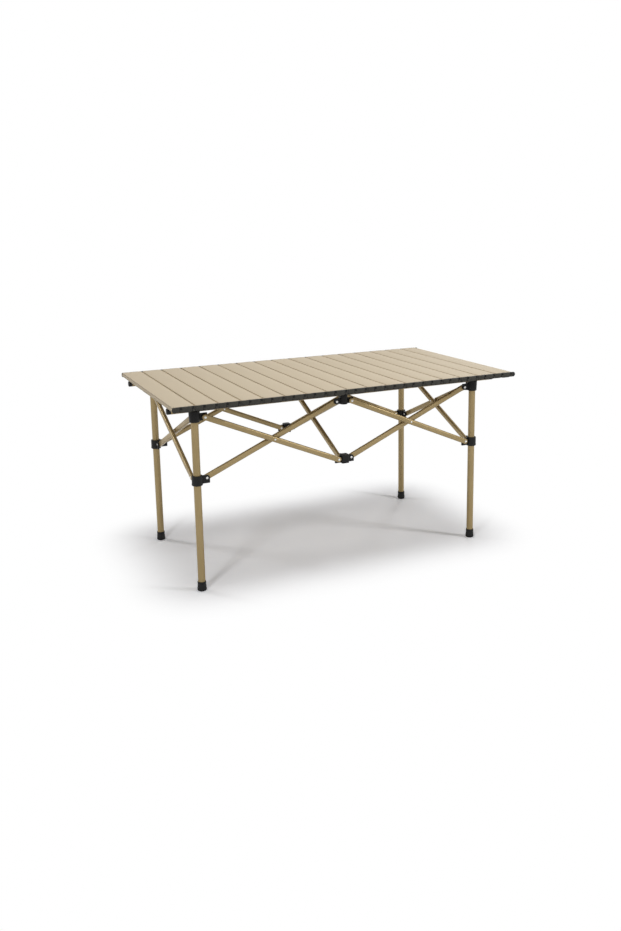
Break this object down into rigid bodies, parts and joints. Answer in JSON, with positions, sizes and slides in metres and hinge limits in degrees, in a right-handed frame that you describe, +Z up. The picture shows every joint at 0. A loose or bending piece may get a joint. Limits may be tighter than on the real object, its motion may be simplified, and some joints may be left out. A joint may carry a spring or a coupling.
{
  "type": "folding camp table",
  "caption": "Roll-top folding camp table: hinged slats on two rails, over a scissor frame of crossed bars, legs and sliding collars, for outdoor cooking and meals.",
  "frame": {"origin": "on the floor, under the middle of the top", "axes": "+X along the table, across the slats; -Y the front long side; +Z up"},
  "size_m": [0.9958, 0.55, 0.5],
  "materials": {
    "slat_coating": "satin powder coat in champagne",
    "rail_coating": "satin powder coat in champagne",
    "bar_coating": "satin powder coat in champagne",
    "leg_coating": "satin powder coat in champagne",
    "black_plastic": "moulded, fine matte grain"
  },
  "bodies": {
    "front_hub": {"top_centre_bracket_front": "black_plastic"},
    "back_hub": {"top_centre_bracket_back": "black_plastic"},
    "bar_front_left_outer": {"bar_front_left_outer": "bar_coating"},
    "bar_front_left_inner": {"bar_front_left_inner": "bar_coating"},
    "leg_front_left": {"leg_front_left": "leg_coating", "foot_front_left": "black_plastic", "top_bracket_front_left": "black_plastic"},
    "collar_front_left": {"collar_front_left": "black_plastic"},
    "bar_front_right_outer": {"bar_front_right_outer": "bar_coating"},
    "bar_front_right_inner": {"bar_front_right_inner": "bar_coating"},
    "leg_front_right": {"leg_front_right": "leg_coating", "foot_front_right": "black_plastic", "top_bracket_front_right": "black_plastic"},
    "collar_front_right": {"collar_front_right": "black_plastic"},
    "low_centre_front": {"low_centre_bracket_front": "black_plastic"},
    "bar_back_right_outer": {"bar_back_right_outer": "bar_coating"},
    "bar_back_right_inner": {"bar_back_right_inner": "bar_coating"},
    "leg_back_right": {"leg_back_right": "leg_coating", "foot_back_right": "black_plastic", "top_bracket_back_right": "black_plastic"},
    "collar_back_right": {"collar_back_right": "black_plastic"},
    "bar_back_left_outer": {"bar_back_left_outer": "bar_coating"},
    "bar_back_left_inner": {"bar_back_left_inner": "bar_coating"},
    "leg_back_left": {"leg_back_left": "leg_coating", "foot_back_left": "black_plastic", "top_bracket_back_left": "black_plastic"},
    "collar_back_left": {"collar_back_left": "black_plastic"},
    "low_centre_back": {"low_centre_bracket_back": "black_plastic"},
    "bar_middle_left": {"bar_middle_left": "bar_coating"},
    "bar_middle_right": {"bar_middle_right": "bar_coating"},
    "bar_left_end_inner": {"bar_left_end_inner": "bar_coating"},
    "bar_left_end_outer": {"bar_left_end_outer": "bar_coating"},
    "bar_right_end_inner": {"bar_right_end_inner": "bar_coating"},
    "bar_right_end_outer": {"bar_right_end_outer": "bar_coating"},
    "rail_front": {"rail_front": "rail_coating", "rail_cap_front_left": "black_plastic", "rail_cap_front_right": "black_plastic"},
    "rail_back": {"rail_back": "rail_coating", "rail_cap_back_left": "black_plastic", "rail_cap_back_right": "black_plastic"},
    "slat_01": {"slat_01": "slat_coating"},
    "slat_02": {"slat_02": "slat_coating"},
    "slat_03": {"slat_03": "slat_coating"},
    "slat_04": {"slat_04": "slat_coating"},
    "slat_05": {"slat_05": "slat_coating"},
    "slat_06": {"slat_06": "slat_coating"},
    "slat_07": {"slat_07": "slat_coating"},
    "slat_08": {"slat_08": "slat_coating"},
    "slat_09": {"slat_09": "slat_coating"},
    "slat_10": {"slat_10": "slat_coating"},
    "slat_11": {"slat_11": "slat_coating"},
    "slat_12": {"slat_12": "slat_coating"},
    "slat_13": {"slat_13": "slat_coating"},
    "slat_14": {"slat_14": "slat_coating"},
    "slat_15": {"slat_15": "slat_coating"},
    "slat_16": {"slat_16": "slat_coating"},
    "slat_17": {"slat_17": "slat_coating"}
  },
  "joints": [
    {"name": "fold", "type": "hinge", "parent": "front_hub", "child": "bar_front_left_inner", "pos_m": [-0.0295, -0.2055, 0.455], "axis": [0, -1, 0], "range_deg": [0, 62]},
    {"name": "front_left_crossing", "type": "hinge", "parent": "bar_front_left_inner", "child": "bar_front_left_outer", "pos_m": [-0.212, -0.2055, 0.376], "axis": [0, 1, 0], "range_deg": [0, 124]},
    {"name": "front_left_leg", "type": "hinge", "parent": "bar_front_left_outer", "child": "leg_front_left", "pos_m": [-0.3945, -0.2055, 0.455], "axis": [0, -1, 0], "range_deg": [0, 62]},
    {"name": "front_left_collar", "type": "hinge", "parent": "bar_front_left_inner", "child": "collar_front_left", "pos_m": [-0.3945, -0.2055, 0.297], "axis": [0, 1, 0], "range_deg": [0, 62]},
    {"name": "front_low_centre", "type": "hinge", "parent": "bar_front_left_outer", "child": "low_centre_front", "pos_m": [-0.0295, -0.2055, 0.297], "axis": [0, -1, 0], "range_deg": [0, 62]},
    {"name": "front_right_outer_at_hub", "type": "hinge", "parent": "front_hub", "child": "bar_front_right_outer", "pos_m": [0.0115, -0.2055, 0.455], "axis": [0, 1, 0], "range_deg": [0, 62]},
    {"name": "front_right_crossing", "type": "hinge", "parent": "bar_front_right_outer", "child": "bar_front_right_inner", "pos_m": [0.194, -0.2055, 0.376], "axis": [0, -1, 0], "range_deg": [0, 124]},
    {"name": "front_right_leg", "type": "hinge", "parent": "bar_front_right_inner", "child": "leg_front_right", "pos_m": [0.3765, -0.2055, 0.455], "axis": [0, 1, 0], "range_deg": [0, 62]},
    {"name": "front_right_collar", "type": "hinge", "parent": "bar_front_right_outer", "child": "collar_front_right", "pos_m": [0.3765, -0.2055, 0.297], "axis": [0, -1, 0], "range_deg": [0, 62]},
    {"name": "left_end_inner_at_leg", "type": "hinge", "parent": "leg_front_left", "child": "bar_left_end_inner", "pos_m": [-0.42, -0.1825, 0.455], "axis": [-1, 0, 0], "range_deg": [0, 62]},
    {"name": "left_end_crossing", "type": "hinge", "parent": "bar_left_end_inner", "child": "bar_left_end_outer", "pos_m": [-0.42, 0, 0.376], "axis": [1, 0, 0], "range_deg": [0, 124]},
    {"name": "middle_right_at_hub", "type": "hinge", "parent": "front_hub", "child": "bar_middle_right", "pos_m": [-0.009, -0.1825, 0.455], "axis": [-1, 0, 0], "range_deg": [0, 62]},
    {"name": "middle_crossing", "type": "hinge", "parent": "bar_middle_right", "child": "bar_middle_left", "pos_m": [-0.009, 0, 0.376], "axis": [1, 0, 0], "range_deg": [0, 124]},
    {"name": "back_hub_at_middle", "type": "hinge", "parent": "bar_middle_left", "child": "back_hub", "pos_m": [-0.009, 0.1825, 0.455], "axis": [-1, 0, 0], "range_deg": [0, 62]},
    {"name": "back_right_inner_at_hub", "type": "hinge", "parent": "back_hub", "child": "bar_back_right_inner", "pos_m": [0.0115, 0.2055, 0.455], "axis": [0, 1, 0], "range_deg": [0, 62]},
    {"name": "back_right_crossing", "type": "hinge", "parent": "bar_back_right_inner", "child": "bar_back_right_outer", "pos_m": [0.194, 0.2055, 0.376], "axis": [0, -1, 0], "range_deg": [0, 124]},
    {"name": "back_right_leg", "type": "hinge", "parent": "bar_back_right_outer", "child": "leg_back_right", "pos_m": [0.3765, 0.2055, 0.455], "axis": [0, 1, 0], "range_deg": [0, 62]},
    {"name": "back_right_collar", "type": "hinge", "parent": "bar_back_right_inner", "child": "collar_back_right", "pos_m": [0.3765, 0.2055, 0.297], "axis": [0, -1, 0], "range_deg": [0, 62]},
    {"name": "back_low_centre", "type": "hinge", "parent": "bar_back_right_outer", "child": "low_centre_back", "pos_m": [0.0115, 0.2055, 0.297], "axis": [0, 1, 0], "range_deg": [0, 62]},
    {"name": "back_left_outer_at_hub", "type": "hinge", "parent": "back_hub", "child": "bar_back_left_outer", "pos_m": [-0.0295, 0.2055, 0.455], "axis": [0, -1, 0], "range_deg": [0, 62]},
    {"name": "back_left_crossing", "type": "hinge", "parent": "bar_back_left_outer", "child": "bar_back_left_inner", "pos_m": [-0.212, 0.2055, 0.376], "axis": [0, 1, 0], "range_deg": [0, 124]},
    {"name": "back_left_leg", "type": "hinge", "parent": "bar_back_left_inner", "child": "leg_back_left", "pos_m": [-0.3945, 0.2055, 0.455], "axis": [0, -1, 0], "range_deg": [0, 62]},
    {"name": "back_left_collar", "type": "hinge", "parent": "bar_back_left_outer", "child": "collar_back_left", "pos_m": [-0.3945, 0.2055, 0.297], "axis": [0, 1, 0], "range_deg": [0, 62]},
    {"name": "right_end_inner_at_leg", "type": "hinge", "parent": "leg_back_right", "child": "bar_right_end_inner", "pos_m": [0.402, 0.1825, 0.455], "axis": [1, 0, 0], "range_deg": [0, 62]},
    {"name": "right_end_crossing", "type": "hinge", "parent": "bar_right_end_inner", "child": "bar_right_end_outer", "pos_m": [0.402, 0, 0.376], "axis": [-1, 0, 0], "range_deg": [0, 124]},
    {"name": "top_lift", "type": "slide", "parent": "front_hub", "child": "slat_09", "axis": [0, 0, 1], "range_m": [0, 0.3]},
    {"name": "rail_front_lift", "type": "slide", "parent": "front_hub", "child": "rail_front", "axis": [0, 0, 1], "range_m": [0, 0.15]},
    {"name": "rail_back_lift", "type": "slide", "parent": "back_hub", "child": "rail_back", "axis": [0, 0, 1], "range_m": [0, 0.15]},
    {"name": "top_roll", "type": "hinge", "parent": "slat_09", "child": "slat_10", "pos_m": [0.0325, 0, 0.496], "axis": [0, -1, 0], "range_deg": [0, 33.47]},
    {"name": "slat_hinge_11", "type": "hinge", "parent": "slat_10", "child": "slat_11", "pos_m": [0.0905, 0, 0.496], "axis": [0, -1, 0], "range_deg": [0, 34.41]},
    {"name": "slat_hinge_12", "type": "hinge", "parent": "slat_11", "child": "slat_12", "pos_m": [0.1485, 0, 0.496], "axis": [0, -1, 0], "range_deg": [0, 35.34]},
    {"name": "slat_hinge_13", "type": "hinge", "parent": "slat_12", "child": "slat_13", "pos_m": [0.2065, 0, 0.496], "axis": [0, -1, 0], "range_deg": [0, 36.28]},
    {"name": "slat_hinge_14", "type": "hinge", "parent": "slat_13", "child": "slat_14", "pos_m": [0.2645, 0, 0.496], "axis": [0, -1, 0], "range_deg": [0, 37.21]},
    {"name": "slat_hinge_15", "type": "hinge", "parent": "slat_14", "child": "slat_15", "pos_m": [0.3225, 0, 0.496], "axis": [0, -1, 0], "range_deg": [0, 38.14]},
    {"name": "slat_hinge_16", "type": "hinge", "parent": "slat_15", "child": "slat_16", "pos_m": [0.3805, 0, 0.496], "axis": [0, -1, 0], "range_deg": [0, 39.07]},
    {"name": "slat_hinge_17", "type": "hinge", "parent": "slat_16", "child": "slat_17", "pos_m": [0.4385, 0, 0.496], "axis": [0, -1, 0], "range_deg": [0, 40.01]},
    {"name": "slat_hinge_08", "type": "hinge", "parent": "slat_09", "child": "slat_08", "pos_m": [-0.0255, 0, 0.496], "axis": [0, 1, 0], "range_deg": [0, 32.54]},
    {"name": "slat_hinge_07", "type": "hinge", "parent": "slat_08", "child": "slat_07", "pos_m": [-0.0835, 0, 0.496], "axis": [0, 1, 0], "range_deg": [0, 31.61]},
    {"name": "slat_hinge_06", "type": "hinge", "parent": "slat_07", "child": "slat_06", "pos_m": [-0.1415, 0, 0.496], "axis": [0, 1, 0], "range_deg": [0, 30.67]},
    {"name": "slat_hinge_05", "type": "hinge", "parent": "slat_06", "child": "slat_05", "pos_m": [-0.1995, 0, 0.496], "axis": [0, 1, 0], "range_deg": [0, 29.74]},
    {"name": "slat_hinge_04", "type": "hinge", "parent": "slat_05", "child": "slat_04", "pos_m": [-0.2575, 0, 0.496], "axis": [0, 1, 0], "range_deg": [0, 28.81]},
    {"name": "slat_hinge_03", "type": "hinge", "parent": "slat_04", "child": "slat_03", "pos_m": [-0.3155, 0, 0.496], "axis": [0, 1, 0], "range_deg": [0, 27.88]},
    {"name": "slat_hinge_02", "type": "hinge", "parent": "slat_03", "child": "slat_02", "pos_m": [-0.3735, 0, 0.496], "axis": [0, 1, 0], "range_deg": [0, 26.94]},
    {"name": "slat_hinge_01", "type": "hinge", "parent": "slat_02", "child": "slat_01", "pos_m": [-0.4315, 0, 0.496], "axis": [0, 1, 0], "range_deg": [0, 26.01]}
  ],
  "couplings": [
    {"joint": "front_left_crossing", "follows": "fold", "ratio": 2},
    {"joint": "front_left_leg", "follows": "fold", "ratio": 1},
    {"joint": "front_left_collar", "follows": "fold", "ratio": 1},
    {"joint": "front_low_centre", "follows": "fold", "ratio": 1},
    {"joint": "front_right_outer_at_hub", "follows": "fold", "ratio": 1},
    {"joint": "front_right_crossing", "follows": "fold", "ratio": 2},
    {"joint": "front_right_leg", "follows": "fold", "ratio": 1},
    {"joint": "front_right_collar", "follows": "fold", "ratio": 1},
    {"joint": "left_end_inner_at_leg", "follows": "fold", "ratio": 1},
    {"joint": "left_end_crossing", "follows": "fold", "ratio": 2},
    {"joint": "middle_right_at_hub", "follows": "fold", "ratio": 1},
    {"joint": "middle_crossing", "follows": "fold", "ratio": 2},
    {"joint": "back_hub_at_middle", "follows": "fold", "ratio": 1},
    {"joint": "back_right_inner_at_hub", "follows": "fold", "ratio": 1},
    {"joint": "back_right_crossing", "follows": "fold", "ratio": 2},
    {"joint": "back_right_leg", "follows": "fold", "ratio": 1},
    {"joint": "back_right_collar", "follows": "fold", "ratio": 1},
    {"joint": "back_low_centre", "follows": "fold", "ratio": 1},
    {"joint": "back_left_outer_at_hub", "follows": "fold", "ratio": 1},
    {"joint": "back_left_crossing", "follows": "fold", "ratio": 2},
    {"joint": "back_left_leg", "follows": "fold", "ratio": 1},
    {"joint": "back_left_collar", "follows": "fold", "ratio": 1},
    {"joint": "right_end_inner_at_leg", "follows": "fold", "ratio": 1},
    {"joint": "right_end_crossing", "follows": "fold", "ratio": 2},
    {"joint": "rail_front_lift", "follows": "top_lift", "ratio": 0.5},
    {"joint": "rail_back_lift", "follows": "top_lift", "ratio": 0.5},
    {"joint": "slat_hinge_11", "follows": "top_roll", "ratio": 1.0279},
    {"joint": "slat_hinge_12", "follows": "top_roll", "ratio": 1.0558},
    {"joint": "slat_hinge_13", "follows": "top_roll", "ratio": 1.0837},
    {"joint": "slat_hinge_14", "follows": "top_roll", "ratio": 1.1116},
    {"joint": "slat_hinge_15", "follows": "top_roll", "ratio": 1.1394},
    {"joint": "slat_hinge_16", "follows": "top_roll", "ratio": 1.1673},
    {"joint": "slat_hinge_17", "follows": "top_roll", "ratio": 1.1952},
    {"joint": "slat_hinge_08", "follows": "top_roll", "ratio": 0.9721},
    {"joint": "slat_hinge_07", "follows": "top_roll", "ratio": 0.9442},
    {"joint": "slat_hinge_06", "follows": "top_roll", "ratio": 0.9163},
    {"joint": "slat_hinge_05", "follows": "top_roll", "ratio": 0.8884},
    {"joint": "slat_hinge_04", "follows": "top_roll", "ratio": 0.8606},
    {"joint": "slat_hinge_03", "follows": "top_roll", "ratio": 0.8327},
    {"joint": "slat_hinge_02", "follows": "top_roll", "ratio": 0.8048},
    {"joint": "slat_hinge_01", "follows": "top_roll", "ratio": 0.7769}
  ]
}
